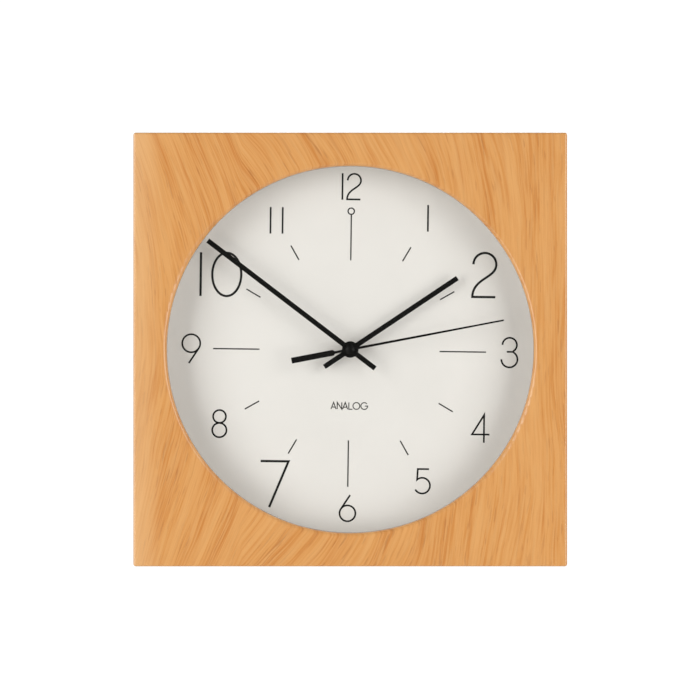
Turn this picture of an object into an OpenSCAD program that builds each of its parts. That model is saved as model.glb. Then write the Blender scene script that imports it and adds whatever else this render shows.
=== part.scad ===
// Square wooden wall clock with a deep round opening, a flat dial and a three-hand quartz movement.
// Every piece is drawn about the hand axis: x to the viewer's right, y up, z out of the wall.
// hung() then stands it up: the wall nail's seat is the origin, +Z is up and the dial faces -Y.

/* [Case] */
// Outer width and height of the square case
case_w = 300; // [280:1:400]
// Depth from the wall to the front face
case_d = 44; // [43:1:60]
// Thickness of the front board
board_t = 9; // [8:0.5:12]
// Thickness of the four side rails
rail_t = 9; // [9:0.5:14]
// Width of the board from the round opening to the sides
margin = 23; // [21:0.5:60]
// Radius of the rounded front edges
edge_r = 1.6; // [0.4:0.1:2]
// Radius of the opening's rounded front edge
rim_r = 3; // [0.4:0.1:4]
// Radius of the four outer corners
corner_r = 2; // [0.5:0.1:4]
// Leg length of the triangular corner blocks
block_leg = 45; // [36:1:56]
// Diameter of the wall pads
pad_d = 8; // [5:0.5:8.5]
// Thickness of the wall pads
pad_t = 1; // [0.5:0.1:2]

/* [Glass and dial] */
// Thickness of the glass pane
glass_t = 2; // [1.5:0.1:3]
// How far the pane lies behind the front face
lip_t = 4.5; // [3:0.1:5.5]
// How far the pane and the dial reach past the opening
seat_w = 4; // [3:0.5:6]
// How far the dial lies behind the front face
recess = 22; // [20:0.5:24]
// Thickness of the dial plate
dial_t = 0.8; // [0.5:0.1:1.5]
// Thickness of the backer board behind the dial
backer_t = 4; // [3.5:0.1:5]
// Gap between the backer board and the rails
panel_gap = 0.5; // [0.3:0.1:1]

/* [Hands] */
// Width of the hour and minute hands
hand_w = 3.5; // [2:0.05:5]
// Thickness of the hand blades
hand_t = 0.5; // [0.3:0.1:0.8]
// Gap between the minute hand's tip and the opening's edge
minute_clear = 2.5; // [2:0.5:20]
// How much shorter the hour hand is than the minute hand
hour_short = 35; // [20:1:50]
// How much shorter the second hand is than the minute hand
second_short = 16; // [0:0.5:25]
// Tail length of the hour and minute hands
tail_len = 21.7; // [12:0.1:30]
// Reach of the second hand's counterweight
weight_len = 41.5; // [30:0.5:50]
// Width of the second hand's counterweight
weight_w = 4.1; // [2:0.05:5]
// Width of the second hand at the hub
second_w = 1.8; // [1:0.05:2.4]
// Width of the second hand at its tip
second_tip_w = 1.1; // [0.5:0.05:1.3]
// Diameter of the round eye of the hour and minute hands
eye_d = 11.5; // [9:0.5:14]
// Diameter of the cap on the second hand
cap_d = 7.2; // [5:0.1:9]
// Height of the hour hand above the dial
hour_rise = 5.6; // [4:0.1:6.5]
// Step from the hour hand to the minute hand
minute_step = 4; // [2:0.1:4.2]
// Step from the minute hand to the second hand
second_step = 1.8; // [1.2:0.1:2]
// Hour hand, degrees clockwise from twelve
hour_at = 56.3; // [0:0.1:360]
// Minute hand, degrees clockwise from twelve
minute_at = 307.4; // [0:0.1:360]
// Second hand, degrees clockwise from twelve
second_at = 79.2; // [0:0.1:360]

/* [Movement] */
// Width and height of the movement housing
house_w = 56; // [55:0.5:64]
// Wall of the housing
house_wall = 1.3; // [1:0.1:1.6]
// Depth of the housing
house_t = 15.7; // [15.7:0.1:16]
// Outer diameter of the threaded bush
bush_d = 8; // [7:0.1:9]
// Outer diameter of the hour pipe
hour_pipe_d = 5.2; // [5:0.1:5.6]
// Outer diameter of the minute pipe
minute_pipe_d = 3.5; // [2.8:0.1:3.6]
// Diameter of the second arbor
second_arbor_d = 1.4; // [1:0.1:1.6]
// Diameter of the other arbors
arbor_d = 0.8; // [0.6:0.1:1]
// Radial running clearance of pipes and arbors
run_gap = 0.08; // [0.04:0.01:0.1]
// Width across the flats of the nut
nut_af = 10; // [9:0.5:12]
// Thickness of the nut
nut_t = 1.9; // [1.5:0.1:2]
// Thickness of the brass washer
washer_t = 0.4; // [0.3:0.1:0.5]
// Thickness of the rubber washer
rubber_t = 0.5; // [0.3:0.1:1]
// Thickness of a train wheel
wheel_t = 0.8; // [0.6:0.1:0.8]
// Diameter of the setting knob
knob_d = 11.2; // [9:0.1:12]
// Height of the setting knob
knob_h = 3; // [2:0.1:3]
// Diameter of the battery
cell_d = 14.2; // [13.5:0.1:14.2]
// Length of the battery with its nub
cell_len = 50.2; // [48:0.1:50.2]

/* [Wall hanger] */
// Distance from the top rail's inner face down to the nail seat
nail_inset = 10; // [9:0.5:13]
// Width of the keyhole's slot
slot_w = 4.4; // [3.5:0.1:6]
// Diameter of the keyhole's round entry
entry_d = 9; // [7:0.5:10]
// Distance from the nail seat down to the entry
slot_drop = 8; // [6:0.5:9]
// Width of the hanger plate
plate_w = 50; // [44:1:70]
// Thickness of the hanger plate
plate_t = 1.2; // [0.8:0.1:1.5]
// Depth of the pocket for the nail's head
pocket_d = 8; // [6:0.5:10]

/* [Hidden] */
$fn = 64;
eps = 0.01;

// Heights above the wall, from the front of the case inwards
board_back = case_d - board_t;
glass_front = case_d - lip_t;
glass_back = glass_front - glass_t;
dial_front = case_d - recess;
dial_back = dial_front - dial_t;
backer_back = dial_back - backer_t;
house_front = backer_back - rubber_t;
rear_face = house_front - house_t;

// The opening, the pane's rebate and the inside of the rails
half_w = case_w / 2;
inner_half = half_w - rail_t;
opening_r = half_w - margin;
glass_r = opening_r + seat_w;
rebate_gap = 0.4;
liner_step = 0.5;
nail_up = inner_half - nail_inset;
rim_wall = 0.6;
rim_round = min(rim_r, lip_t - rim_wall);

// The backer's counterbore holds the washer and the nut below the dial
nut_gap = 1;
nut_r = nut_af / 2 / cos(30);
counterbore_t = nut_t + washer_t + 0.2;
counterbore_r = nut_r + nut_gap;
nut_back = dial_back - counterbore_t + washer_t;
bush_top = dial_back - 0.1;
bush_gap = 0.2;

// The inside of the housing
floor_t = 1.4;
cover_top = rear_face + floor_t;
house_in = house_w / 2 - house_wall;
ceiling = house_front - house_wall;
bay_top = -9.6;
bay_wall = 1;
bay_bottom = -house_in;
plate_legs = [[14.5, -7], [-7.4, -7.2], [14.5, 14.5], [-7, 14]];
plate_leg_r = 1.3;
small_post_r = 1.2;
setting_post_r = 1.8;

// Heights of the train layers, from the ceiling to the cover
end_play = 0.2;
layer_gap = 0.5;
hour_z = ceiling - end_play - 1 - wheel_t;
motion_z = hour_z - 1.8;
cannon_z = motion_z - 0.2;
spring_t = 0.6;
centre_z = cannon_z - spring_t - wheel_t;
plate_top = centre_z - 0.6;
plate_thick = 0.8;
plate_z = plate_top - plate_thick;
plate_x = [-9, 17];
plate_y = [-9, 16.2];
third_z = plate_z - 0.7 - wheel_t;
second_z = third_z - 1 - wheel_t;
inter_z = second_z - 0.6 - wheel_t;
pinion_over = 0.2;

// Tooth counts. The train turns the rotor 30 times for one turn of the second wheel,
// the second wheel 60 times for one turn of the centre wheel,
// and the minute pipe 12 times for one turn of the hour wheel.
rotor_teeth = 8;
inter_teeth = 48;
inter_pinion_teeth = 8;
second_teeth = 40;
second_pinion_teeth = 8;
third_teeth = 60;
third_pinion_teeth = 8;
centre_teeth = 64;
cannon_teeth = 12;
motion_teeth = 36;
motion_pinion_teeth = 10;
hour_teeth = 40;
setting_teeth = 12;

// Tooth modules. Where two pairs share a centre distance, the second module follows from it.
rotor_mod = 0.25;
inter_mod = 0.3;
third_mod = 0.25;
motion_mod = 0.36;
rotor_reach = (rotor_teeth + inter_teeth) * rotor_mod / 2;
inter_reach = (inter_pinion_teeth + second_teeth) * inter_mod / 2;
third_reach = (second_pinion_teeth + third_teeth) * third_mod / 2;
centre_mod = 2 * third_reach / (third_pinion_teeth + centre_teeth);
motion_reach = (cannon_teeth + motion_teeth) * motion_mod / 2;
hour_mod = 2 * motion_reach / (motion_pinion_teeth + hour_teeth);
setting_reach = (motion_teeth + setting_teeth) * motion_mod / 2;

// Directions from each wheel to the next, and the wheels' places
rotor_dir = 40;
inter_dir = 95;
third_dir = 20;
motion_dir = 160;
setting_dir = 150;
inter_at = polar(inter_reach, inter_dir);
rotor_at = inter_at + polar(rotor_reach, rotor_dir);
third_at = polar(third_reach, third_dir);
motion_at = polar(motion_reach, motion_dir);
setting_at = motion_at + polar(setting_reach, setting_dir);

// Turns that put each gear in mesh with the one before it
inter_turn = mesh_turn(0, rotor_teeth, inter_teeth, rotor_dir + 180);
second_turn = mesh_turn(0, inter_pinion_teeth, second_teeth, inter_dir + 180);
third_turn = mesh_turn(0, second_pinion_teeth, third_teeth, third_dir);
centre_turn = mesh_turn(0, third_pinion_teeth, centre_teeth, third_dir + 180);
motion_turn = mesh_turn(0, cannon_teeth, motion_teeth, motion_dir);
hour_turn = mesh_turn(0, motion_pinion_teeth, hour_teeth, motion_dir + 180);
setting_turn = mesh_turn(motion_turn, motion_teeth, setting_teeth, setting_dir);

// Tooth outlines from root to tip: [height over the pitch circle in modules, half width in pitches]
wheel_tooth = [[-1.15, 0.22], [0, 0.22], [0.5, 0.165], [0.9, 0.06]];
pinion_tooth = [[-1.4, 0.14], [0, 0.17], [0.35, 0.135], [0.65, 0.06]];

// The hands' reaches and heights
minute_len = opening_r - minute_clear;
hour_len = minute_len - hour_short;
second_len = minute_len - second_short;
hour_hand_z = dial_front + hour_rise;
minute_hand_z = hour_hand_z + minute_step;
second_hand_z = minute_hand_z + second_step;
collet_h = 2;
cap_h = 1.6;

// The magnet, the stator and the coil
magnet_r = 2.6;
magnet_h = 1.9;
magnet_z = inter_z + wheel_t + 0.3;
stator_hole_r = 3;
stator_ring_r = 5.2;
stator_z = magnet_z + 0.8;
stator_t = 0.8;
coil_y = 22;
coil_from = -4;
coil_to = 16;
core_from = -8;
core_to = 20;
core_w = 3;
core_t = 1.2;
core_z = stator_z + stator_t;
winding_r = 3.5;
flange_r = 4.1;
flange_t = 0.8;
spool_r = 2.2;
leg_w = 3;

// The circuit board, and the strips from the battery contacts to it
board_x = [17.8, house_in - 1];
board_y = [-7.4, 16];
pcb_z = ceiling - 5.8;
pcb_t = 0.8;
pcb_post_x = 22;
chip_w = 4.5;
chip_at = [20, 0];
crystal_r = 1;
crystal_len = 6;
crystal_at = [21.5, 12.5];
lead_r = 0.15;
lead_len = 1.2;
strip_t = 0.4;
strip_w = 2;
strip_z = pcb_z + pcb_t;
leaf_w = 10;

// The battery
cell_r = cell_d / 2;
cell_y = (bay_bottom + bay_top - bay_wall) / 2;
cell_z = ceiling - 0.25 - cell_r;

// The setting knob and its well
knob_gap = 0.9;
well_r = knob_d / 2 + knob_gap;
well_wall = 1;
knob_z = rear_face + 0.3;
well_floor = knob_z + knob_h + 0.3;
setting_r = 1.5;
setting_pin_r = 0.9;
setting_pin_h = 1.4;
setting_top = motion_z + wheel_t + 0.2;

// The catches on the housing, and the clips on the cover that snap over them
catch_w = 2.8;
catch_h = 0.8;
catch_out = 0.7;
catch_z = cover_top + 4.2;
clip_w = 6;
clip_t = 1;
clip_h = floor_t + 6;
clip_gap = 0.2;
clip_off = 0.1;

// The wall hanger
hanger_y = nail_up - 4;
hanger_h = 22;
block_h = 26;
block_y = inner_half - block_h;
block_w = plate_w + 20;
hanger_z = 0.6;
block_back = hanger_z + plate_t;
block_front = backer_back - 2;
pocket_w = 16;
pocket_wall = 4;
screw_pitch = plate_w / 2 - 6;
hanger_screw_in = 8;
screw_d = 3;
head_d = 5.6;
head_h = 1.6;
slot_len = 3.2;
slot_t = 0.7;

// Screws of the backer, with their clearance holes
backer_screw_at = inner_half - 14;
backer_screw_len = 12;
screw_gap = 0.2;

function polar(r, a) = [r * cos(a), r * sin(a)];
function mesh_turn(turn, teeth, other_teeth, dir) = dir + 180 + (180 - (turn - dir) * teeth) / other_teeth;
function flank(tooth, side, r, m, pitch, a) =
    [for (i = [0 : len(tooth) - 1])
        let (p = side < 0 ? tooth[i] : tooth[len(tooth) - 1 - i])
        polar(r + p[0] * m, a + side * p[1] * pitch)];

// Stands the hand-axis frame up: the nail seat becomes the origin and the dial faces -Y.
module hung() {
    translate([0, 0, -nail_up]) rotate([90, 0, 0]) children();
}

module tube(r, hole_r, z_from, z_to) {
    translate([0, 0, z_from])
        difference() {
            cylinder(r = r, h = z_to - z_from);
            translate([0, 0, -1]) cylinder(r = hole_r, h = z_to - z_from + 2);
        }
}

module rod(r, z_from, z_to) {
    translate([0, 0, z_from]) cylinder(r = r, h = z_to - z_from);
}

module slab(x, y, z) {
    translate([x[0], y[0], z[0]]) cube([x[1] - x[0], y[1] - y[0], z[1] - z[0]]);
}

module at(p) {
    translate([p[0], p[1], 0]) children();
}

// A clock gear: teeth with radial flanks and pointed tips.
module gear(teeth, m, tooth, turn, z_from, z_to) {
    pitch = 360 / teeth;
    r = teeth * m / 2;
    outline = [
        for (i = [0 : teeth - 1], side = [-1, 1]) each flank(tooth, side, r, m, pitch, turn + i * pitch)
    ];
    translate([0, 0, z_from]) linear_extrude(z_to - z_from) polygon(outline);
}

// A train wheel with four round lightening holes.
module train_wheel(teeth, m, turn, z_from, hub_r) {
    root_r = teeth * m / 2 - 1.15 * m;
    hole_r = (root_r - hub_r) * 0.3;
    difference() {
        gear(teeth, m, wheel_tooth, turn, z_from, z_from + wheel_t);
        for (a = [45 : 90 : 315])
            at(polar((root_r + hub_r) / 2, a)) rod(hole_r, z_from - 1, z_from + wheel_t + 1);
    }
}

// The outer block of the case with its rounded front edges and corners.
module rounded_square(half, r) {
    union() {
        square([2 * (half - r), 2 * half], center = true);
        square([2 * half, 2 * (half - r)], center = true);
        for (x = [-1, 1], y = [-1, 1]) translate([x * (half - r), y * (half - r)]) circle(r);
    }
}

module edge_profile() {
    union() {
        translate([-half_w, 0]) square([case_w, case_d - edge_r]);
        translate([-half_w + edge_r, 0]) square([case_w - 2 * edge_r, case_d]);
        for (x = [-1, 1]) translate([x * (half_w - edge_r), case_d - edge_r]) circle(edge_r);
    }
}

module case_envelope() {
    intersection() {
        translate([0, 0, pad_t]) linear_extrude(case_d) rounded_square(half_w, corner_r);
        rotate([90, 0, 0]) translate([0, 0, -half_w]) linear_extrude(case_w) edge_profile();
        rotate([0, 0, 90]) rotate([90, 0, 0])
            translate([0, 0, -half_w]) linear_extrude(case_w) edge_profile();
    }
}

// A board profile with mitred sides: full width in front, one rail narrower at the back.
module mitre_profile() {
    slope = rail_t / board_t;
    polygon([
        [-half_w - slope, case_d + 1], [-inner_half, board_back],
        [inner_half, board_back], [half_w + slope, case_d + 1]
    ]);
}

module front_board() {
    color("burlywood") hung()
        difference() {
            intersection() {
                case_envelope();
                rotate([90, 0, 0]) translate([0, 0, -half_w]) linear_extrude(case_w) mitre_profile();
                rotate([0, 0, 90]) rotate([90, 0, 0])
                    translate([0, 0, -half_w]) linear_extrude(case_w) mitre_profile();
            }
            rod(opening_r, board_back - 1, case_d + 1, $fn = 180);
            rod(glass_r + rebate_gap, board_back - 1, glass_front, $fn = 180);
            rotate_extrude($fn = 180)
                difference() {
                    translate([opening_r - eps, case_d - rim_round])
                        square([rim_round + eps, rim_round + 1]);
                    translate([opening_r + rim_round, case_d - rim_round]) circle(rim_round);
                }
        }
}

// One side rail, drawn at the top and turned to its side. Its front and its ends are mitred.
module rail(turn) {
    hung()
        intersection() {
            case_envelope();
            rotate([0, 0, turn])
                intersection() {
                    rotate([90, 0, 90])
                        translate([0, 0, -half_w])
                            linear_extrude(case_w)
                                polygon([
                                    [inner_half, pad_t], [half_w, pad_t],
                                    [half_w, case_d], [inner_half, board_back]
                                ]);
                    linear_extrude(case_d)
                        polygon([
                            [-inner_half, inner_half], [inner_half, inner_half],
                            [half_w, half_w], [-half_w, half_w]
                        ]);
                }
        }
}

module rail_top() {
    color("burlywood") rail(0);
}

module rail_left() {
    color("burlywood") rail(90);
}

module rail_bottom() {
    color("burlywood") rail(180);
}

module rail_right() {
    color("burlywood") rail(270);
}

module corner_blocks() {
    color("tan") hung()
        for (turn = [0 : 90 : 270])
            rotate([0, 0, turn])
                difference() {
                    translate([0, 0, dial_back])
                        linear_extrude(board_back - dial_back)
                            polygon([
                                [inner_half, inner_half], [inner_half - block_leg, inner_half],
                                [inner_half, inner_half - block_leg]
                            ]);
                    translate([backer_screw_at, backer_screw_at, 0])
                        rod(screw_d / 2, dial_back - 1, backer_back + backer_screw_len);
                }
}

module glass_pane() {
    color("lightcyan", 0.3) hung() rod(glass_r, glass_back, glass_front, $fn = 180);
}

module liner_ring() {
    color("whitesmoke") hung() tube(glass_r, opening_r + liner_step, dial_front, glass_back, $fn = 180);
}

module dial_plate() {
    color("ivory") hung()
        difference() {
            rod(glass_r, dial_back, dial_front, $fn = 180);
            rod(hour_pipe_d / 2 + 1, dial_back - 1, dial_front + 1);
        }
}

module backer_board() {
    half = inner_half - panel_gap;
    color("peru") hung()
        difference() {
            slab([-half, half], [-half, half], [backer_back, dial_back]);
            rod(bush_d / 2 + bush_gap, backer_back - 1, dial_back);
            rod(counterbore_r, dial_back - counterbore_t, dial_back + 1);
            for (x = [-1, 1], y = [-1, 1])
                translate([x * backer_screw_at, y * backer_screw_at, 0])
                    rod(screw_d / 2 + screw_gap, backer_back - 1, dial_back + 1);
        }
}

// A pan-head screw that points out of the wall, with a cross slot. z_head is where its head seats.
module screw(z_head, length) {
    difference() {
        union() {
            rod(head_d / 2, z_head - head_h, z_head);
            rod(screw_d / 2, z_head - eps, z_head + length);
        }
        for (turn = [0, 90])
            rotate([0, 0, turn])
                translate([0, 0, z_head - head_h]) cube([slot_t, slot_len, head_h], center = true);
    }
}

module backer_screws() {
    color("silver") hung()
        for (x = [-1, 1], y = [-1, 1])
            translate([x * backer_screw_at, y * backer_screw_at, 0]) screw(backer_back, backer_screw_len);
}

module hanger_block() {
    color("tan") hung()
        difference() {
            slab([-block_w / 2, block_w / 2], [block_y, inner_half], [block_back, block_front]);
            slab([-pocket_w / 2, pocket_w / 2], [block_y + pocket_wall, inner_half - pocket_wall],
                [block_back - 1, block_back + pocket_d]);
            for (x = [-1, 1])
                translate([x * screw_pitch, hanger_y, 0])
                    rod(screw_d / 2, block_back - 1, block_back + hanger_screw_in);
        }
}

module hanger_plate() {
    color("silver") hung()
        difference() {
            translate([0, hanger_y, hanger_z])
                linear_extrude(plate_t)
                    union() {
                        square([plate_w - hanger_h / 2, hanger_h], center = true);
                        square([plate_w, hanger_h / 2], center = true);
                        for (x = [-1, 1], y = [-1, 1])
                            translate([x * (plate_w / 2 - hanger_h / 4), y * hanger_h / 4])
                                circle(hanger_h / 4);
                    }
            translate([0, nail_up, hanger_z - 1]) cylinder(r = slot_w / 2, h = plate_t + 2);
            slab([-slot_w / 2, slot_w / 2], [nail_up - slot_drop, nail_up], [hanger_z - 1, block_back + 1]);
            translate([0, nail_up - slot_drop, hanger_z - 1]) cylinder(r = entry_d / 2, h = plate_t + 2);
            for (x = [-1, 1])
                translate([x * screw_pitch, hanger_y, 0])
                    rod(screw_d / 2 + screw_gap, hanger_z - 1, block_back + 1);
        }
}

// Flat-headed screws, so that nothing stands past the wall pads
module hanger_screws() {
    flat_h = hanger_z - 0.1;
    color("silver") hung()
        for (x = [-1, 1])
            translate([x * screw_pitch, hanger_y, 0])
                difference() {
                    union() {
                        rod(head_d / 2, hanger_z - flat_h, hanger_z);
                        rod(screw_d / 2, hanger_z - eps, block_back + hanger_screw_in);
                    }
                    for (turn = [0, 90])
                        rotate([0, 0, turn]) cube([slot_t, slot_len, 0.8], center = true);
                }
}

module wall_pads() {
    at_half = half_w - rail_t / 2;
    color("dimgray") hung()
        for (x = [-1, 1], y = [-1, 1])
            translate([x * at_half, y * at_half, 0]) rod(pad_d / 2, 0, pad_t);
}

// A post that hangs from the housing's ceiling
module post(p, r, z_from) {
    at(p) rod(r, z_from, ceiling + eps);
}

// A blind hole for a pivot
module pivot_hole(p, r, z_from, z_to) {
    at(p) rod(r + run_gap, z_from, z_to);
}

module catch_places() {
    for (turn = [0, 90, 270])
        rotate([0, 0, turn]) translate([0, house_w / 2, 0]) children();
}

module front_case() {
    half = house_w / 2;
    pivot_r = arbor_d / 2;
    color("dimgray") hung()
        difference() {
            union() {
                difference() {
                    slab([-half, half], [-half, half], [cover_top, house_front]);
                    slab([-house_in, house_in], [bay_top, house_in], [cover_top - 1, ceiling]);
                    slab([-house_in, house_in], [bay_bottom, bay_top - bay_wall], [cover_top - 1, ceiling]);
                }
                rod(bush_d / 2, house_front - eps, bush_top);
                for (p = [[core_from + leg_w / 2, coil_y], [core_to - leg_w / 2, coil_y]])
                    post(p, small_post_r, core_z + core_t);
                for (y = [board_y[0] + 3, board_y[1] - 3]) post([pcb_post_x, y], small_post_r, strip_z);
                post(third_at, 1, centre_z + wheel_t + layer_gap + 0.2);
                post(motion_at, pivot_r, motion_z - 0.4);
                post(setting_at, setting_post_r, setting_top + 0.3);
                catch_places()
                    translate([-catch_w / 2, -eps, catch_z]) cube([catch_w, catch_out + eps, catch_h]);
            }
            rod(hour_pipe_d / 2 + run_gap, ceiling - 1, bush_top + 1);
            pivot_hole(third_at, pivot_r, centre_z, centre_z + wheel_t + layer_gap + 1.3);
            pivot_hole(setting_at, setting_pin_r, setting_top, setting_top + setting_pin_h + 0.3);
            for (x = [-1, 1]) {
                from = x > 0 ? house_in - 1 : -house_in;
                slab([from, from + 1], [bay_top - bay_wall - 1, bay_top + 1], [pcb_z - 1, ceiling]);
            }
        }
}

module rear_cover() {
    half = house_w / 2;
    lip_gap = 0.1;
    lip_w = 1.1;
    lip = house_in - lip_gap;
    bottom = bay_top - bay_wall;
    pivot_r = arbor_d / 2;
    boss_top = cover_top + 0.7;
    color("gray") hung()
        difference() {
            union() {
                slab([-half, half], [bottom, half], [rear_face, cover_top]);
                difference() {
                    slab([-lip, lip], [bay_top + lip_gap, lip], [cover_top - eps, cover_top + 1]);
                    slab([-lip + lip_w, lip - lip_w], [bay_top + lip_gap + lip_w, lip - lip_w],
                        [cover_top - 1, cover_top + 2]);
                }
                at(setting_at) rod(well_r + well_wall, cover_top - eps, well_floor + well_wall);
                for (p = [[0, 0], inter_at, rotor_at, third_at]) at(p) rod(1.4, cover_top - eps, boss_top);
                catch_places() translate([-clip_w / 2, clip_off, rear_face]) cube([clip_w, clip_t, clip_h]);
                catch_places()
                    slab([-clip_w / 2, clip_w / 2], [-1, clip_off + eps], [rear_face, cover_top]);
            }
            at(setting_at) rod(well_r, rear_face - 1, well_floor);
            at(setting_at) rod(setting_r + run_gap, rear_face, well_floor + well_wall + 1);
            rod(second_arbor_d / 2 + run_gap, cover_top - 0.6, boss_top + 1);
            for (p = [inter_at, rotor_at, third_at]) pivot_hole(p, pivot_r, cover_top - 0.6, boss_top + 1);
            catch_places()
                slab([-catch_w / 2 - clip_gap, catch_w / 2 + clip_gap], [-1, clip_off + clip_t + 1],
                    [catch_z - clip_gap, catch_z + catch_h + clip_gap]);
        }
}

// The plate that carries the front pivots. Its four legs stand on the housing's ceiling.
module train_plate() {
    color("white") hung()
        difference() {
            union() {
                slab(plate_x, plate_y, [plate_z, plate_top]);
                for (p = plate_legs) at(p) rod(plate_leg_r, plate_top - eps, ceiling);
            }
            rod(second_arbor_d / 2 + run_gap, plate_z - 1, plate_top + 1);
            for (p = [inter_at, rotor_at, third_at]) pivot_hole(p, arbor_d / 2, plate_z - 1, plate_top + 1);
        }
}

module rubber_washer() {
    color("black") hung() tube(1.5 * bush_d, bush_d / 2 + bush_gap, house_front, backer_back);
}

module brass_washer() {
    color("goldenrod") hung() tube(nut_r - 0.1, bush_d / 2 + 0.05, dial_back - counterbore_t, nut_back);
}

module hex_nut() {
    color("gold") hung()
        difference() {
            translate([0, 0, nut_back]) cylinder(r = nut_r, h = nut_t, $fn = 6);
            rod(bush_d / 2, nut_back - 1, nut_back + nut_t + 1);
        }
}

module circuit_board() {
    color("darkgreen") hung() slab(board_x, board_y, [pcb_z, pcb_z + pcb_t]);
}

module chip() {
    color("black") hung() at(chip_at) translate([0, 0, pcb_z - 1]) cube([chip_w, chip_w, 1]);
}

module crystal() {
    color("silver") hung()
        at(crystal_at)
            union() {
                translate([0, 0, pcb_z - crystal_r])
                    rotate([90, 0, 0]) cylinder(r = crystal_r, h = crystal_len);
                for (x = [-0.4, 0.4])
                    translate([x, eps - crystal_len, pcb_z - crystal_r / 2])
                        rotate([90, 0, 0]) cylinder(r = lead_r, h = lead_len);
            }
}

module coil_bobbin() {
    color("white") hung()
        difference() {
            translate([0, coil_y, core_z + core_t / 2])
                rotate([0, 90, 0])
                    union() {
                        rod(spool_r, coil_from, coil_to);
                        rod(flange_r, coil_from, coil_from + flange_t);
                        rod(flange_r, coil_to - flange_t, coil_to);
                    }
            slab([coil_from - 1, coil_to + 1], [coil_y - core_w / 2, coil_y + core_w / 2],
                [core_z, core_z + core_t]);
        }
}

module coil_winding() {
    color("orangered") hung()
        translate([0, coil_y, core_z + core_t / 2])
            rotate([0, 90, 0]) tube(winding_r, spool_r, coil_from + flange_t, coil_to - flange_t);
}

module coil_core() {
    color("slategray") hung()
        slab([core_from, core_to], [coil_y - core_w / 2, coil_y + core_w / 2], [core_z, core_z + core_t]);
}

module stator() {
    notch_r = 0.4;
    leg_y = rotor_at[1] - leg_w / 2;
    color("lightslategray") hung()
        translate([0, 0, stator_z])
            linear_extrude(stator_t)
                difference() {
                    union() {
                        translate(rotor_at) circle(stator_ring_r);
                        translate([core_from, leg_y]) square([core_to - core_from, leg_w]);
                        for (x = [core_from, core_to - leg_w])
                            translate([x, leg_y]) square([leg_w, coil_y + core_w / 2 - leg_y]);
                    }
                    translate(rotor_at) circle(stator_hole_r);
                    for (a = [50, 230]) translate(rotor_at + polar(stator_hole_r, a)) circle(notch_r);
                }
}

// Bent strips: a leaf on the end wall of the bay, and an arm to the circuit board
module contact_positive() {
    wall_x = house_in;
    bend = cell_len / 2;
    color("gainsboro") hung()
        union() {
            slab([wall_x - strip_t, wall_x], [cell_y - leaf_w / 2, bay_top + 2],
                [strip_z, strip_z + strip_w]);
            slab([wall_x - strip_t, wall_x], [cell_y - leaf_w / 2, cell_y + leaf_w / 2],
                [cell_z - leaf_w / 2, cell_z + leaf_w / 2]);
            slab([bend, wall_x], [cell_y - 2.5, cell_y + 2.5], [cell_z - 2, cell_z + 2]);
            slab([board_x[1] - 3, wall_x], [bay_top + 2 - strip_w, bay_top + 4],
                [strip_z, strip_z + strip_t]);
        }
}

module contact_negative() {
    wall_x = -house_in;
    bend = -cell_len / 2;
    strip_y = bay_top + strip_t;
    color("gainsboro") hung()
        union() {
            slab([wall_x, wall_x + strip_t], [cell_y - leaf_w / 2, strip_y], [strip_z, strip_z + strip_w]);
            slab([wall_x, wall_x + strip_t], [cell_y - leaf_w / 2, cell_y + leaf_w / 2],
                [cell_z - leaf_w / 2, cell_z + leaf_w / 2]);
            slab([wall_x, bend], [cell_y - 3.5, cell_y + 3.5], [cell_z - 0.6, cell_z + 0.6]);
            slab([wall_x, board_x[0] + 2], [bay_top, strip_y], [strip_z, strip_z + strip_w]);
            slab([board_x[0] - 1, board_x[0] + 2], [bay_top, board_y[0] + 1.5],
                [strip_z, strip_z + strip_t]);
        }
}

module rotor_magnet() {
    color("darkslategray") hung() at(rotor_at) tube(magnet_r, arbor_d / 2, magnet_z, magnet_z + magnet_h);
}

module rotor_pinion() {
    color("white") hung()
        at(rotor_at)
            union() {
                gear(rotor_teeth, rotor_mod, pinion_tooth, 0, inter_z - pinion_over, magnet_z);
                rod(arbor_d / 2, cover_top - 0.5, plate_top - 0.1);
            }
}

module intermediate_wheel() {
    color("white") hung()
        at(inter_at)
            union() {
                train_wheel(inter_teeth, rotor_mod, inter_turn, inter_z, 1.6);
                gear(inter_pinion_teeth, inter_mod, pinion_tooth, 0, inter_z + wheel_t - eps,
                    second_z + wheel_t + pinion_over);
                rod(arbor_d / 2, cover_top - 0.5, plate_top - 0.1);
            }
}

module second_wheel() {
    color("white") hung()
        union() {
            train_wheel(second_teeth, inter_mod, second_turn, second_z, 1.6);
            gear(second_pinion_teeth, third_mod, pinion_tooth, 0, second_z + wheel_t - eps,
                third_z + wheel_t + pinion_over);
            rod(second_arbor_d / 2, cover_top - 0.5, second_hand_z + hand_t);
        }
}

module third_wheel() {
    color("white") hung()
        at(third_at)
            union() {
                train_wheel(third_teeth, third_mod, third_turn, third_z, 1.6);
                gear(third_pinion_teeth, centre_mod, pinion_tooth, 0, centre_z - 0.3,
                    centre_z + wheel_t + 0.3);
                rod(arbor_d / 2, cover_top - 0.5, centre_z + wheel_t + layer_gap + 1);
            }
}

module centre_wheel() {
    color("goldenrod") hung()
        difference() {
            train_wheel(centre_teeth, centre_mod, centre_turn, centre_z, 2.6);
            rod(minute_pipe_d / 2 + run_gap, centre_z - 1, centre_z + wheel_t + 1);
        }
}

// A three-legged spring washer that presses the centre wheel against the minute pipe's collar
module clutch_spring() {
    color("silver") hung()
        translate([0, 0, centre_z + wheel_t + 0.1])
            linear_extrude(spring_t - 0.1)
                difference() {
                    union() {
                        circle(2.6);
                        for (a = [0, 120, 240]) rotate([0, 0, a]) translate([2.2, -0.5]) square([2.6, 1]);
                    }
                    circle(minute_pipe_d / 2);
                }
}

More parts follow.
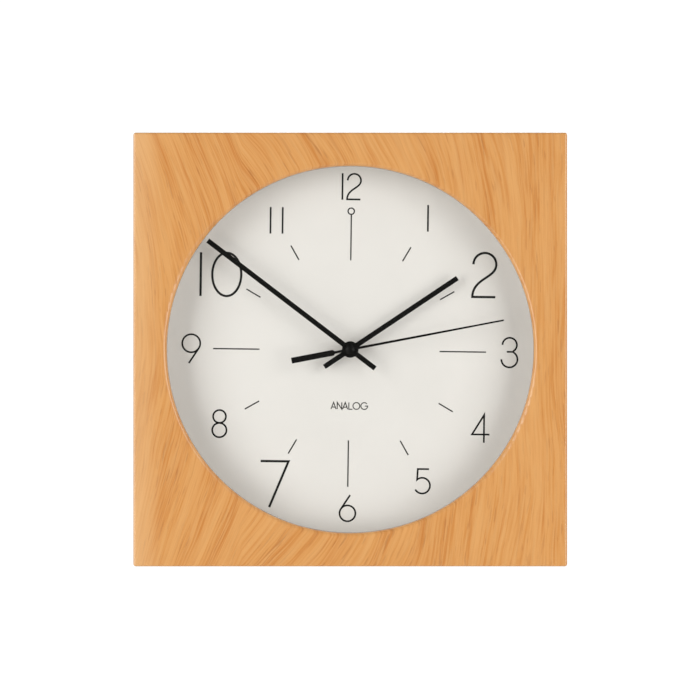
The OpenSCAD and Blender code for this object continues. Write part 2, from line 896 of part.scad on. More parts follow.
module minute_pipe() {
    color("goldenrod") hung()
        difference() {
            union() {
                rod(minute_pipe_d / 2, centre_z - 0.1, minute_hand_z + hand_t);
                rod(minute_pipe_d / 2 + 0.7, centre_z - 0.4, centre_z - 0.1);
                gear(cannon_teeth, motion_mod, pinion_tooth, 0, cannon_z, motion_z + wheel_t + pinion_over);
            }
            rod(second_arbor_d / 2 + run_gap, centre_z - 1, minute_hand_z + hand_t + 1);
        }
}

module motion_wheel() {
    color("white") hung()
        at(motion_at)
            difference() {
                union() {
                    train_wheel(motion_teeth, motion_mod, motion_turn, motion_z, 2.2);
                    gear(motion_pinion_teeth, hour_mod, pinion_tooth, 0, motion_z + wheel_t - eps,
                        hour_z + wheel_t + pinion_over);
                }
                rod(arbor_d / 2 + run_gap, motion_z - 1, hour_z + wheel_t + 1);
            }
}

module hour_wheel() {
    pipe_r = hour_pipe_d / 2;
    color("white") hung()
        difference() {
            union() {
                train_wheel(hour_teeth, hour_mod, hour_turn, hour_z, 3.4);
                rod(pipe_r + 0.8, hour_z + wheel_t - eps, ceiling - end_play);
                rod(pipe_r, hour_z, hour_hand_z + hand_t);
            }
            rod(minute_pipe_d / 2 + run_gap, hour_z - 1, hour_hand_z + hand_t + 1);
        }
}

module setting_shaft() {
    color("white") hung()
        at(setting_at)
            union() {
                gear(setting_teeth, motion_mod, pinion_tooth, setting_turn, motion_z - 0.2, setting_top);
                rod(setting_r, knob_z + knob_h, motion_z - 0.2 + eps);
                rod(setting_pin_r, knob_z + 1, setting_top + setting_pin_h);
            }
}

module setting_knob() {
    grips = 24;
    grip_r = 0.45;
    color("gray") hung()
        at(setting_at)
            difference() {
                rod(knob_d / 2, knob_z, knob_z + knob_h);
                for (i = [0 : grips - 1])
                    at(polar(knob_d / 2, i * 360 / grips))
                        rod(grip_r, knob_z - 1, knob_z + knob_h + 1, $fn = 16);
                translate([0, 0, knob_z]) cube([knob_d * 0.6, 1.4, 1.6], center = true);
                rod(setting_pin_r, knob_z + 1, knob_z + knob_h + 1);
            }
}

module battery_cell() {
    nub_r = 2.6;
    nub_h = 1.2;
    color("olive") hung()
        translate([0, cell_y, cell_z])
            rotate([0, 90, 0])
                union() {
                    rod(cell_r, -cell_len / 2, cell_len / 2 - nub_h);
                    rod(nub_r, cell_len / 2 - nub_h - eps, cell_len / 2);
                }
}

// A straight blade with square ends and a round eye
module bar_hand(turn, z_from, reach, hole_r) {
    rotate([0, 0, -turn])
        difference() {
            translate([0, 0, z_from])
                linear_extrude(hand_t)
                    union() {
                        translate([-hand_w / 2, -tail_len]) square([hand_w, tail_len + reach]);
                        circle(eye_d / 2);
                    }
            rod(hole_r, z_from - 1, z_from + hand_t + 1);
        }
}

// A riveted collet under a blade
module collet(z_from, hole_r) {
    tube(hole_r + 0.9, hole_r, z_from - collet_h, z_from);
}

module hour_hand() {
    color("black") hung() bar_hand(hour_at, hour_hand_z, hour_len, hour_pipe_d / 2);
}

module hour_collet() {
    color("goldenrod") hung() collet(hour_hand_z, hour_pipe_d / 2);
}

module minute_hand() {
    color("black") hung() bar_hand(minute_at, minute_hand_z, minute_len, minute_pipe_d / 2);
}

module minute_collet() {
    color("goldenrod") hung() collet(minute_hand_z, minute_pipe_d / 2);
}

module second_hand() {
    shoulder = 11;
    hub_step = 0.6;
    color("black") hung()
        rotate([0, 0, -second_at])
            difference() {
                translate([0, 0, second_hand_z])
                    linear_extrude(hand_t)
                        union() {
                            polygon([
                                [weight_w / 2, -weight_len], [weight_w / 2, -shoulder - 1],
                                [second_w / 2, -shoulder], [second_w / 2, 0],
                                [second_tip_w / 2, second_len], [-second_tip_w / 2, second_len],
                                [-second_w / 2, 0], [-second_w / 2, -shoulder],
                                [-weight_w / 2, -shoulder - 1], [-weight_w / 2, -weight_len]
                            ]);
                            circle(cap_d / 2 - hub_step);
                        }
                rod(second_arbor_d / 2, second_hand_z - 1, second_hand_z + hand_t + 1);
            }
}

// The domed cap, pressed on over the second arbor
module second_cap() {
    dome_r = (cap_d * cap_d / 4 + cap_h * cap_h) / (2 * cap_h);
    cap_z = second_hand_z + hand_t;
    color("black") hung()
        intersection() {
            rod(cap_d / 2, cap_z, cap_z + cap_h);
            translate([0, 0, cap_z + cap_h - dome_r]) sphere(dome_r, $fn = 96);
        }
}

front_board();
rail_top();
rail_bottom();
rail_left();
rail_right();
corner_blocks();
glass_pane();
liner_ring();
dial_plate();
backer_board();
backer_screws();
hanger_block();
hanger_plate();
hanger_screws();
wall_pads();
front_case();
rear_cover();
train_plate();
rubber_washer();
brass_washer();
hex_nut();
circuit_board();
chip();
crystal();
coil_bobbin();
coil_winding();
coil_core();
stator();
contact_positive();
contact_negative();
rotor_magnet();
rotor_pinion();
intermediate_wheel();
second_wheel();
third_wheel();
centre_wheel();
clutch_spring();
minute_pipe();
motion_wheel();
hour_wheel();
setting_shaft();
setting_knob();
battery_cell();
hour_hand();
hour_collet();
minute_hand();
minute_collet();
second_hand();
second_cap();
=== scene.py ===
"""Looks of the square wooden wall clock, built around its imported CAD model.

Places are in metres in the model's own frame: +Z up, the dial faces -Y, and the nail seat is the origin.
"""

import math

import bmesh
import bpy
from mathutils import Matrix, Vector


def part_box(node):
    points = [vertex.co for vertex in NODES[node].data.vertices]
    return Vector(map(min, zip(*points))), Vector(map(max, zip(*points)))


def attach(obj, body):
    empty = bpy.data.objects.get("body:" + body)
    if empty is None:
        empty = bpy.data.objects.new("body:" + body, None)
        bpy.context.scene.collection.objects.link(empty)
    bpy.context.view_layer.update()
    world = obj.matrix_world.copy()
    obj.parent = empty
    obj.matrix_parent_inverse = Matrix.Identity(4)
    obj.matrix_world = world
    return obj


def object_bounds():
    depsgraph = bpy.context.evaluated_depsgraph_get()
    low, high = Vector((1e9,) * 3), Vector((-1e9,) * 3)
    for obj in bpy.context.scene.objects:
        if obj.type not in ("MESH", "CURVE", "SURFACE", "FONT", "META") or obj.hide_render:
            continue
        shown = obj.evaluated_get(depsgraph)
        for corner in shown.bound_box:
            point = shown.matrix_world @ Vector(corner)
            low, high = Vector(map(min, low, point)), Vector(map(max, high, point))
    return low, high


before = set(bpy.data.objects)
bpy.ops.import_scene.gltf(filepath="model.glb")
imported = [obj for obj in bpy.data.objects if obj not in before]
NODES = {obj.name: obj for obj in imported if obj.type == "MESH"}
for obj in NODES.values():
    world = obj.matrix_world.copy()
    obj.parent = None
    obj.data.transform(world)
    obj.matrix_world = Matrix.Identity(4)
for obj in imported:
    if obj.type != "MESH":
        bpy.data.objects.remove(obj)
CAD_BOX = [list(corner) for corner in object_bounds()]

MM = 0.001
LOW, HIGH = (Vector(c) for c in CAD_BOX)
DIAL_LOW, DIAL_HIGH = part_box("dial_plate")
CENTRE = (DIAL_LOW + DIAL_HIGH) / 2
FACE_Y = DIAL_LOW.y
FRONT_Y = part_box("front_board")[0].y
CASE_W = HIGH.x - LOW.x


# ---------------------------------------------------------------- shader helpers

class Shader:
    """A Principled material with a few node helpers."""

    def __init__(self, name, colour=(0.5, 0.5, 0.5), rough=0.5, metal=0.0, spec=0.5):
        self.material = bpy.data.materials.new(name)
        self.material.use_nodes = True
        self.tree = self.material.node_tree
        self.bsdf = self.tree.nodes["Principled BSDF"]
        self.set("Base Color", (*colour, 1))
        self.set("Roughness", rough)
        self.set("Metallic", metal)
        self.set("Specular IOR Level", spec)

    def set(self, socket, value):
        self.bsdf.inputs[socket].default_value = value

    def node(self, kind, **values):
        made = self.tree.nodes.new(kind)
        for key, value in values.items():
            setattr(made, key, value)
        return made

    def link(self, source, target):
        self.tree.links.new(source, target)

    def place(self):
        """The point's place in the model's frame, which stays with the piece as it moves."""
        return self.node("ShaderNodeTexCoord").outputs["Object"]

    def noise(self, vector, scale, offset=(0, 0, 0), detail=2.0, rough=0.5, distortion=0.0):
        """Smooth noise with its features scaled along each axis, in features per metre."""
        mapping = self.node("ShaderNodeMapping")
        mapping.inputs["Scale"].default_value = scale
        mapping.inputs["Location"].default_value = offset
        self.link(vector, mapping.inputs["Vector"])
        tex = self.node("ShaderNodeTexNoise")
        tex.inputs["Scale"].default_value = 1.0
        tex.inputs["Detail"].default_value = detail
        tex.inputs["Roughness"].default_value = rough
        tex.inputs["Distortion"].default_value = distortion
        self.link(mapping.outputs["Vector"], tex.inputs["Vector"])
        return tex.outputs["Fac"]

    def maths(self, operation, a, b):
        made = self.node("ShaderNodeMath", operation=operation)
        for socket, value in zip(made.inputs, (a, b)):
            if isinstance(value, (int, float)):
                socket.default_value = value
            else:
                self.link(value, socket)
        return made.outputs[0]

    def ramp(self, factor, *stops):
        """A colour ramp through (position, colour or grey) stops."""
        made = self.node("ShaderNodeValToRGB")
        elements = made.color_ramp.elements
        while len(elements) < len(stops):
            elements.new(0.5)
        for element, (position, colour) in zip(elements, stops):
            element.position = position
            grey = isinstance(colour, (int, float))
            element.color = (colour, colour, colour, 1) if grey else (*colour, 1)
        self.link(factor, made.inputs[0])
        return made.outputs[0]

    def mix(self, factor, a, b):
        made = self.node("ShaderNodeMix", data_type="RGBA")
        for socket, value in zip((made.inputs[0], made.inputs[6], made.inputs[7]), (factor, a, b)):
            if isinstance(value, (int, float)):
                socket.default_value = value
            elif isinstance(value, tuple):
                socket.default_value = (*value, 1)
            else:
                self.link(value, socket)
        return made.outputs[2]

    def colour(self, source):
        self.link(source, self.bsdf.inputs["Base Color"])

    def roughness(self, source):
        self.link(source, self.bsdf.inputs["Roughness"])

    def bump(self, height, strength, distance):
        made = self.node("ShaderNodeBump")
        made.inputs["Strength"].default_value = strength
        made.inputs["Distance"].default_value = distance
        self.link(height, made.inputs["Height"])
        self.link(made.outputs[0], self.bsdf.inputs["Normal"])


def even(scale):
    """The same noise scale along all three axes."""
    return scale, scale, scale


def srgb(r, g, b):
    """The linear colour of an 8-bit display colour."""
    def one(v):
        v /= 255
        return v / 12.92 if v <= 0.04045 else ((v + 0.055) / 1.055) ** 2.4
    return one(r), one(g), one(b)


# ---------------------------------------------------------------- materials

WOOD_PALE = srgb(225, 168, 101)
WOOD_MID = srgb(214, 151, 80)
WOOD_DEEP = srgb(196, 124, 52)
WOOD_LINE = srgb(192, 116, 40)
WOOD_PORE = srgb(158, 96, 46)
WOOD_FLECK = srgb(219, 173, 113)
# The paler colour painted along the left edge of the board, painted light
WOOD_LIT_LEFT = srgb(230, 186, 134)
# How far the growth lines bow over the height of the board, per metre, and where across it they do
BOW = 2.7
BOW_SHARE = ((0.0, 0.5), (0.25, 1.0), (0.7, 0.25), (1.0, 0.0))
# How far the lines wander and ripple to the side, in metres, and how much they lean through the board
WANDER = 0.045
RIPPLE = 0.0025
THROUGH = 0.9
# How strongly each kind of mark shows in the colour
LINE_SHARE = 0.6
FLECK_SHARE = 0.5
SHADE_SHARE = 0.38
FIBRE_SHARE = 0.5
PORE_SHARE = 0.35
# Painted light: how much paler the board is painted at its left edge, where the light falls brighter, and
# how far in that reaches, as a share of the width
LEFT_LIGHT_SHARE = 0.5
LEFT_LIGHT_REACH = 0.07


def veneer_grain(s):
    """Coordinates that follow the growth lines, and the share of the board's width left of the point."""
    place = s.place()
    split = s.node("ShaderNodeSeparateXYZ")
    s.link(place, split.inputs[0])
    x, y, z = split.outputs
    across = s.maths("SUBTRACT", x, CENTRE.x)
    up = s.maths("SUBTRACT", z, CENTRE.z)
    # The growth lines lean towards the middle height on the left half of the board, and stand on the right
    bow = s.maths("MULTIPLY", s.maths("MULTIPLY", up, up), -BOW)
    from_left = s.maths("ADD", s.maths("DIVIDE", across, CASE_W), 0.5)
    leftness = s.ramp(from_left, *BOW_SHARE)
    wander = s.maths("SUBTRACT", s.noise(place, (7, 7, 3), detail=2.5, rough=0.55), 0.5)
    ripple = s.maths("SUBTRACT", s.noise(place, (42, 42, 26), (2, 0, 5), detail=1), 0.5)
    growth = s.maths("SUBTRACT", across, s.maths("MULTIPLY", bow, leftness))
    growth = s.maths("ADD", growth, s.maths("MULTIPLY", wander, WANDER))
    growth = s.maths("ADD", growth, s.maths("MULTIPLY", ripple, RIPPLE))
    growth = s.maths("ADD", growth, s.maths("MULTIPLY", y, THROUGH))
    grain = s.node("ShaderNodeCombineXYZ")
    s.link(growth, grain.inputs[0])
    s.link(s.maths("MULTIPLY", y, 0.5), grain.inputs[1])
    s.link(z, grain.inputs[2])
    return grain.outputs[0], from_left


def wood_veneer():
    """Honey-coloured flat-sawn veneer: soft bands, fine lines and short dark pores that run up."""
    s = Shader("honey_veneer", rough=0.3, spec=0.8)
    grain, from_left = veneer_grain(s)
    bands = s.noise(grain, (74, 6, 4), detail=3, rough=0.55)
    lines = s.noise(grain, (300, 18, 10), (3, 0, 1), detail=3, rough=0.6)
    fibres = s.noise(grain, (700, 40, 22), detail=3, rough=0.6)
    pores = s.noise(grain, (820, 60, 85), detail=0.5, rough=0.5)
    base = s.ramp(bands, (0.36, WOOD_DEEP), (0.47, WOOD_MID), (0.62, WOOD_PALE))
    line = s.ramp(lines, (0.34, 1.0), (0.47, 0.0))
    base = s.mix(s.maths("MULTIPLY", line, LINE_SHARE), base, WOOD_LINE)
    flecks = s.noise(grain, (480, 40, 26), (1, 0, 3), detail=2, rough=0.6)
    fleck = s.ramp(flecks, (0.5, 0.0), (0.66, 1.0))
    base = s.mix(s.maths("MULTIPLY", fleck, FLECK_SHARE), base, WOOD_FLECK)
    fibre = s.ramp(fibres, (0.38, 0.0), (0.58, 1.0))
    shaded = s.mix(SHADE_SHARE, base, WOOD_LINE)
    base = s.mix(s.maths("MULTIPLY", fibre, FIBRE_SHARE), shaded, WOOD_PALE)
    pore = s.ramp(pores, (0.27, 1.0), (0.36, 0.0))
    in_band = s.ramp(bands, (0.42, 1.0), (0.6, 0.2))
    pore = s.maths("MULTIPLY", pore, in_band)
    base = s.mix(s.maths("MULTIPLY", pore, PORE_SHARE), base, WOOD_PORE)
    # Painted light: the board is painted paler towards its left edge, where the light falls brighter
    left_light = s.ramp(from_left, (0.0, LEFT_LIGHT_SHARE), (LEFT_LIGHT_REACH, 0.0))
    s.colour(s.mix(left_light, base, WOOD_LIT_LEFT))
    s.roughness(s.ramp(fibres, (0.2, 0.26), (0.8, 0.36)))
    s.bump(s.maths("SUBTRACT", s.maths("MULTIPLY", fibre, 0.35), pore), 0.25, 0.00005)
    return s.material


def raw_wood(name, light, dark, scale):
    """Plain unfinished pine with a soft figure and a rough surface."""
    s = Shader(name, rough=0.72, spec=0.25)
    place = s.place()
    bands = s.noise(place, scale, detail=4, rough=0.6, distortion=0.4)
    fine = s.noise(place, tuple(6 * along for along in scale), detail=2)
    s.colour(s.mix(s.maths("MULTIPLY", fine, 0.35), s.ramp(bands, (0.35, dark), (0.65, light)), dark))
    s.bump(fine, 0.3, 0.0001)
    return s.material


def fibre_board():
    """Brown fibre board with small matted flecks."""
    s = Shader("fibre_board", rough=0.8, spec=0.2)
    place = s.place()
    flecks = s.noise(place, even(520), detail=3, rough=0.7)
    cloud = s.noise(place, even(30), detail=2)
    dark, middle, light = srgb(112, 82, 56), srgb(146, 110, 78), srgb(176, 140, 104)
    colour = s.ramp(flecks, (0.3, dark), (0.55, middle), (0.75, light))
    s.colour(s.mix(s.maths("MULTIPLY", cloud, 0.3), colour, srgb(120, 90, 62)))
    s.bump(flecks, 0.35, 0.00012)
    return s.material


def moulded(name, colour, rough=0.5, grain=900, depth=0.00003, variation=0.06):
    """Moulded plastic with a fine spark-eroded grain and slight clouding of its colour."""
    s = Shader(name, colour, rough)
    place = s.place()
    fine = s.noise(place, even(grain), detail=2)
    cloud = s.noise(place, even(40), detail=2)
    darker = tuple(c * (1 - variation * 2) for c in colour)
    s.colour(s.mix(cloud, darker, colour))
    s.roughness(s.ramp(fine, (0.2, rough - 0.05), (0.8, rough + 0.07)))
    s.bump(fine, 0.25, depth)
    return s.material


def metal(name, colour, rough=0.3, brush=(40, 900, 900), tone=0.2):
    """Metal with fine brush marks along one way and a little staining."""
    s = Shader(name, colour, rough, metal=1.0)
    place = s.place()
    marks = s.noise(place, brush, detail=2)
    stain = s.noise(place, even(120), detail=3)
    darker = tuple(c * (1 - tone) for c in colour)
    s.colour(s.mix(stain, darker, colour))
    s.roughness(s.ramp(marks, (0.2, rough - 0.08), (0.8, rough + 0.1)))
    s.bump(marks, 0.15, 0.00002)
    return s.material


def satin_black(name, rough):
    """Satin black lacquer on the hands, with a very fine spray texture."""
    s = Shader(name, rough=rough, spec=0.12)
    spray = s.noise(s.place(), even(1600), detail=1)
    s.colour(s.mix(spray, srgb(7, 5, 3), srgb(13, 11, 8)))
    s.roughness(s.ramp(spray, (0.2, rough - 0.05), (0.8, rough + 0.07)))
    s.bump(spray, 0.12, 0.00002)
    return s.material


def dial_paint():
    """Off-white matt lacquer with faint mottling."""
    s = Shader("dial_paint", rough=0.62, spec=0.25)
    place = s.place()
    mottle = s.noise(place, even(25), detail=3)
    fine = s.noise(place, even(900), detail=1)
    s.colour(s.ramp(mottle, (0.3, srgb(240, 237, 230)), (0.7, srgb(243, 240, 233))))
    s.bump(fine, 0.04, 0.00001)
    return s.material


def warm_grey(level):
    return srgb(level, level - 2, level - 5)


def print_ink(name, dark, light):
    """Screen-printed ink between two near-black warm greys."""
    s = Shader(name, rough=0.55, spec=0.25)
    speck = s.noise(s.place(), even(1500), detail=1)
    s.colour(s.ramp(speck, (0.3, warm_grey(dark)), (0.7, warm_grey(light))))
    s.bump(speck, 0.1, 0.00001)
    return s.material


def clear_glass():
    """Thin clear pane: it lets light straight through and mirrors a little more towards grazing angles."""
    s = Shader("clear_pane", (0.02, 0.025, 0.025), rough=0.02, spec=0.5)
    s.set("Alpha", 0.05)
    return s.material


# ---------------------------------------------------------------- mesh helpers

def face_point(x, z, lift=0.0):
    """A point x right and z up from the hand axis, lift in front of the dial, all in millimetres."""
    return Vector((CENTRE.x + x * MM, FACE_Y - lift * MM, CENTRE.z + z * MM))


def new_object(name, bm, material):
    mesh = bpy.data.meshes.new(name)
    bmesh.ops.recalc_face_normals(bm, faces=bm.faces)
    bm.to_mesh(mesh)
    bm.free()
    obj = bpy.data.objects.new(name, mesh)
    bpy.context.scene.collection.objects.link(obj)
    mesh.materials.append(material)
    return obj


def arc(cx, cz, radius, start, stop, radius_z=None, steps=32):
    """Points on an arc about (cx, cz). Angles are in degrees, clockwise from straight up."""
    tall = radius if radius_z is None else radius_z
    points = []
    for i in range(steps + 1):
        a = math.radians(start + (stop - start) * i / steps)
        points.append((cx + radius * math.sin(a), cz + tall * math.cos(a)))
    return points


INK_T = 0.06
SHARPEST = 0.25


def stroke(bm, points, width, closed=False):
    """Adds one flat pen stroke of even width with square ends. Points are millimetres on the print."""
    path = [Vector(p) for p in points]
    count, half = len(path), width / 2
    left, right = [], []
    for i, p in enumerate(path):
        before = path[i - 1] if i or closed else None
        after = path[(i + 1) % count] if i + 1 < count or closed else None
        behind = (p - before).normalized() if before else None
        ahead = (after - p).normalized() if after else behind
        way = (ahead + (behind or ahead)).normalized()
        side = Vector((-way.y, way.x)) * half / max(SHARPEST, way.dot(ahead))
        left.append(p + side)
        right.append(p - side)
    low_left, low_right, top_left, top_right = (
        [bm.verts.new(on_print(q, lift)) for q in edge] for lift in (0, INK_T) for edge in (left, right)
    )
    for i in range(count if closed else count - 1):
        j = (i + 1) % count
        bm.faces.new((top_left[i], top_left[j], top_right[j], top_right[i]))
        bm.faces.new((low_left[j], low_left[i], low_right[i], low_right[j]))
        bm.faces.new((low_left[i], low_left[j], top_left[j], top_left[i]))
        bm.faces.new((low_right[j], low_right[i], top_right[i], top_right[j]))
    if not closed:
        bm.faces.new((low_left[0], top_left[0], top_right[0], low_right[0]))
        bm.faces.new((low_left[-1], low_right[-1], top_right[-1], top_left[-1]))


# ---------------------------------------------------------------- the dial's print

# The whole print sits slightly turned and off centre, as screen printing does
PRINT_TURN = math.radians(0.75)
PRINT_SHIFT = Vector((-0.5, -0.6))
# Pen widths and numeral heights, in millimetres
BIG_PEN = 1.6
SMALL_PEN = 1.22
MARK_PEN = 0.89
WORD_PEN = 0.66
SMALL_H = 18.5
BIG_H = 30.5


def on_print(q, lift):
    """The place on the dial of a point on the print, in metres."""
    c, s = math.cos(PRINT_TURN), math.sin(PRINT_TURN)
    x = q.x * c + q.y * s + PRINT_SHIFT.x
    z = q.y * c - q.x * s + PRINT_SHIFT.y
    return face_point(x, z, lift)


def curve(start, pull, pull_end, end, steps=18):
    """Points along a cubic curve."""
    p0, p1, p2, p3 = (Vector(p) for p in (start, pull, pull_end, end))
    points = []
    for i in range(1, steps + 1):
        t = i / steps
        u = 1 - t
        points.append(p0 * u ** 3 + p1 * 3 * u * u * t + p2 * 3 * u * t * t + p3 * t ** 3)
    return points


def ring(cx, cz, radius, radius_z=None):
    """A closed loop of points."""
    return arc(cx, cz, radius, 0, 360, radius_z, steps=56)[:-1]


def glyph_two(cx, cz, r):
    """A 2 whose top arc is centred on (cx, cz) with radius r."""
    bow = arc(cx, cz, r, -90, 120)
    base = cz - 2.87 * r
    tail = curve(
        bow[-1],
        (bow[-1][0] - 0.4 * r, bow[-1][1] - 0.7 * r),
        (cx - 1.07 * r, base + 1.38 * r),
        (cx - 1.07 * r, base),
    )
    return [*bow, *tail, (cx + 0.95 * r, base)]


def glyph_six(cx, cz, r, length, turned=1):
    """The straight stem of a 6, which leaves its ring along a tangent. Turned by half a turn it is the
    stem of a 9.
    """
    a = math.radians(57)
    foot = (cx - turned * r * math.sin(a), cz + turned * r * math.cos(a))
    lean = (turned * length * math.cos(a), turned * length * math.sin(a))
    return foot, (foot[0] + lean[0], foot[1] + lean[1])


def build_numerals(material):
    """Thin numerals, in millimetres from the print's middle. The 2, 7 and 10 are larger and bolder."""
    bm = bmesh.new()

    def one(x, bottom, height, pen):
        stroke(bm, [(x, bottom), (x, bottom + height)], pen)

    one(-6.4, 104.8, SMALL_H, SMALL_PEN)
    stroke(bm, glyph_two(1.8, 118.35, 4.6), SMALL_PEN)
    one(-56.2, 80.65, SMALL_H, SMALL_PEN)
    one(-47.8, 80.65, SMALL_H, SMALL_PEN)
    one(53.4, 83.4, SMALL_H, SMALL_PEN)
    stroke(bm, glyph_two(93.45, 61.1, 7.93), BIG_PEN)
    stroke(bm, arc(111.45, 5.2, 5.0, -90, 152), SMALL_PEN)
    stroke(bm, arc(111.35, -4.8, 5.6, 28, 270), SMALL_PEN)
    stroke(bm, [(109.55, 0.4), (113.95, 0.4)], SMALL_PEN)
    stroke(bm, [(98.2, -57.4), (86.0, -57.4), (94.3, -43.8), (94.3, -63.1)], SMALL_PEN)
    five_bowl = arc(51.75, -93.55, 5.47, -39, 240)
    stroke(bm, [(56.4, -82.0), (48.6, -82.0), (48.2, -89.4), *five_bowl], SMALL_PEN)
    stroke(bm, ring(0.0, -113.5, 5.52), SMALL_PEN, closed=True)
    stroke(bm, glyph_six(0.0, -113.5, 5.52, 11.6), SMALL_PEN)
    stroke(bm, [(-60.9, -77.85), (-41.5, -77.85), (-54.6, -109.9)], BIG_PEN)
    stroke(bm, ring(-89.95, -47.2, 4.45), SMALL_PEN, closed=True)
    stroke(bm, ring(-89.95, -56.7, 4.96), SMALL_PEN, closed=True)
    stroke(bm, ring(-110.3, 3.5, 6.27), SMALL_PEN, closed=True)
    stroke(bm, glyph_six(-110.3, 3.5, 6.27, 12.4, turned=-1), SMALL_PEN)
    one(-104.3, 36.5, BIG_H, BIG_PEN)
    stroke(bm, ring(-86.2, 51.75, 10.1, 15.05), BIG_PEN, closed=True)
    return new_object("numerals", bm, material)


# The inner and outer radius of each mark, and the ring's centre and radius, in millimetres
LONG_MARK = (62.7, 95.0)
SHORT_MARK = (72.2, 83.6)
TWELVE_RING = (-0.1, 96.9, 2.2)


def build_marks(material):
    """A long stroke at each quarter, a short one at the other hours, and a small ring at twelve."""
    bm = bmesh.new()
    for hour in range(12):
        inner, outer = LONG_MARK if hour % 3 == 0 else SHORT_MARK
        a = math.radians(hour * 30)
        stroke(bm, [(r * math.sin(a), r * math.cos(a)) for r in (inner, outer)], MARK_PEN)
    stroke(bm, ring(*TWELVE_RING), MARK_PEN, closed=True)
    return new_object("hour_marks", bm, material)


WORD_H = 4.7
WORD_Z = -41.0
LETTER_W = 3.5
LETTERS_X = (-12.4, -8.1, -4.3, 0.0, 2.9, 8.4)


def build_word(material):
    """The small generic word under the hands, drawn with plain pen strokes."""
    bm = bmesh.new()
    h, w = WORD_H, LETTER_W

    def letter_a(x, z):
        stroke(bm, [(x, z), (x + w / 2, z + h), (x + w, z)], WORD_PEN)
        stroke(bm, [(x + 0.8, z + 1.4), (x + w - 0.8, z + 1.4)], WORD_PEN)

    def letter_n(x, z):
        stroke(bm, [(x, z), (x, z + h), (x + w - 0.3, z), (x + w - 0.3, z + h)], WORD_PEN)

    def letter_l(x, z):
        stroke(bm, [(x, z + h), (x, z), (x + w - 1.0, z)], WORD_PEN)

    def letter_o(x, z):
        stroke(bm, ring(x + h / 2, z + h / 2, h / 2), WORD_PEN, closed=True)

    def letter_g(x, z):
        stroke(bm, [*arc(x + h / 2, z + h / 2, h / 2, 50, -270), (x + h / 2 + 0.4, z + h / 2)], WORD_PEN)

    letters = (letter_a, letter_n, letter_a, letter_l, letter_o, letter_g)
    for letter, x in zip(letters, LETTERS_X):
        letter(x, WORD_Z)
    return new_object("dial_word", bm, material)


def build_print():
    ink = print_ink("numeral_ink", 15, 26)
    fine_ink = print_ink("mark_ink", 34, 46)
    for piece in (build_numerals(ink), build_marks(fine_ink), build_word(fine_ink)):
        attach(piece, "case")


# ---------------------------------------------------------------- put together

def assign(material, *names):
    for name in names:
        mesh = NODES[name].data
        mesh.materials.clear()
        mesh.materials.append(material)


def dress_nodes():
    black = moulded("housing_plastic", srgb(34, 34, 36), rough=0.5)
    steel = metal("zinc_steel", (0.62, 0.62, 0.64), rough=0.34)
    brass = metal("turned_brass", (0.80, 0.58, 0.25), rough=0.28)
    white = moulded("wheel_plastic", srgb(226, 226, 218), rough=0.35, grain=500)
    pale = moulded("pale_plastic", srgb(214, 214, 208), rough=0.5)
    rubber = moulded("black_rubber", srgb(38, 38, 38), rough=0.8, grain=500, depth=0.00008)
    pine = raw_wood("raw_pine", srgb(226, 194, 150), srgb(196, 158, 112), (60, 60, 8))
    assign(wood_veneer(), "front_board", "rail_top", "rail_bottom", "rail_left", "rail_right")
    assign(pine, "corner_blocks", "hanger_block")
    assign(fibre_board(), "backer_board")
    assign(clear_glass(), "glass_pane")
    # Painted shade: the liner's grey is darkened to stand in for the shadow the deep case casts around the
    # dial's edge
    assign(moulded("liner_plastic_painted_shade", srgb(176, 166, 157), rough=0.6), "liner_ring")
    assign(dial_paint(), "dial_plate")
    assign(black, "front_case", "rear_cover", "setting_knob", "chip")
    assign(rubber, "wall_pads", "rubber_washer")
    assign(steel, "backer_screws", "hanger_plate", "hanger_screws", "crystal", "coil_core", "stator",
           "contact_positive", "contact_negative", "clutch_spring")
    assign(brass, "brass_washer", "hex_nut", "centre_wheel", "minute_pipe", "hour_collet", "minute_collet")
    assign(white, "rotor_pinion", "intermediate_wheel", "second_wheel", "third_wheel", "motion_wheel",
           "hour_wheel", "setting_shaft")
    assign(pale, "train_plate", "coil_bobbin")
    assign(metal("copper_wire", (0.78, 0.33, 0.15), rough=0.4, brush=(2400, 60, 60)), "coil_winding")
    assign(moulded("solder_mask", srgb(30, 96, 56), rough=0.35), "circuit_board")
    assign(metal("sintered_magnet", (0.18, 0.18, 0.19), rough=0.5), "rotor_magnet")
    assign(moulded("cell_wrap", srgb(44, 70, 96), rough=0.3), "battery_cell")
    assign(satin_black("satin_black", 0.42), "hour_hand", "minute_hand", "second_hand")
    assign(satin_black("cap_black", 0.36), "second_cap")


# ---------------------------------------------------------------- camera and light

CAMERA_AWAY = 2.9
VIEW_W = 0.4838
SENSOR_W = 36
# How far the camera stands left of and under the middle of the dial, in metres
CAMERA_LEFT = 0.0002
CAMERA_UNDER = 0.00035


def build_camera():
    camera = bpy.data.cameras.new("camera")
    camera.sensor_width = SENSOR_W
    camera.lens = SENSOR_W * CAMERA_AWAY / VIEW_W
    camera.clip_end = 50
    obj = bpy.data.objects.new("camera", camera)
    bpy.context.scene.collection.objects.link(obj)
    obj.location = (CENTRE.x - CAMERA_LEFT, FRONT_Y - CAMERA_AWAY, CENTRE.z - CAMERA_UNDER)
    obj.rotation_euler = (math.radians(90), 0, 0)
    bpy.context.scene.camera = obj


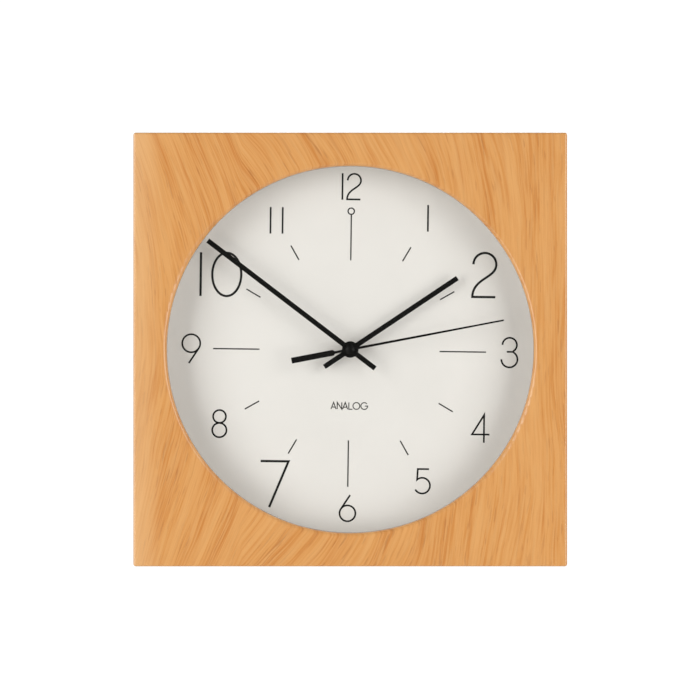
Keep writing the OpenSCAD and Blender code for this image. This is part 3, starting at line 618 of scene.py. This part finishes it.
def softbox(name, offset, width, height, power):
    """A rectangular light at an offset from the middle of the dial, which it faces."""
    light = bpy.data.lights.new(name, "AREA")
    light.shape = "RECTANGLE"
    light.size = width
    light.size_y = height
    light.energy = power
    obj = bpy.data.objects.new(name, light)
    bpy.context.scene.collection.objects.link(obj)
    obj.location = CENTRE + offset
    obj.rotation_euler = (-offset).to_track_quat("-Z", "Y").to_euler()


# Two tall boxes stand before the clock at an angle to each side, and one stands behind it
BOX_AWAY = 2.4
BOX_ANGLE = math.radians(51.5)
BOX_RAISE = 0.12
BOX_W = 1.4
BOX_H = 2.7
LEFT_POWER = 47
RIGHT_POWER = 42
BACK_OFFSET = Vector((0.5, 2.4, 0.9))
BACK_POWER = 34
# The white surroundings light the clock less brightly than the camera sees them
AMBIENT = 0.32
BACKDROP = 1.1


def build_light():
    sideways, forwards = BOX_AWAY * math.sin(BOX_ANGLE), BOX_AWAY * math.cos(BOX_ANGLE)
    softbox("softbox_left", Vector((-sideways, -forwards, BOX_RAISE)), BOX_W, BOX_H, LEFT_POWER)
    softbox("softbox_right", Vector((sideways, -forwards, BOX_RAISE)), BOX_W, BOX_H, RIGHT_POWER)
    softbox("softbox_back", BACK_OFFSET, BOX_W, BOX_W, BACK_POWER)
    world = bpy.data.worlds.new("studio")
    bpy.context.scene.world = world
    world.use_nodes = True
    tree = world.node_tree
    background = tree.nodes["Background"]
    seen = tree.nodes.new("ShaderNodeLightPath")
    strength = tree.nodes.new("ShaderNodeMapRange")
    strength.inputs["To Min"].default_value = AMBIENT
    strength.inputs["To Max"].default_value = BACKDROP
    tree.links.new(seen.outputs["Is Camera Ray"], strength.inputs["Value"])
    tree.links.new(strength.outputs[0], background.inputs["Strength"])
    background.inputs["Color"].default_value = (1, 1, 1, 1)


FLOOR_BELOW = 0.8
FLOOR_R = 1.05


def build_floor():
    bm = bmesh.new()
    bmesh.ops.create_circle(bm, cap_ends=True, segments=96, radius=FLOOR_R)
    s = Shader("floor_paper", rough=0.85, spec=0.2)
    tone = s.noise(s.place(), even(3), detail=2)
    s.colour(s.ramp(tone, (0.3, 0.83), (0.7, 0.86)))
    floor = new_object("floor", bm, s.material)
    floor.location = (CENTRE.x, 0, CENTRE.z - FLOOR_BELOW)


build_camera()
build_light()
build_floor()
dress_nodes()
build_print()

scene = bpy.context.scene
scene.view_settings.view_transform = "Standard"
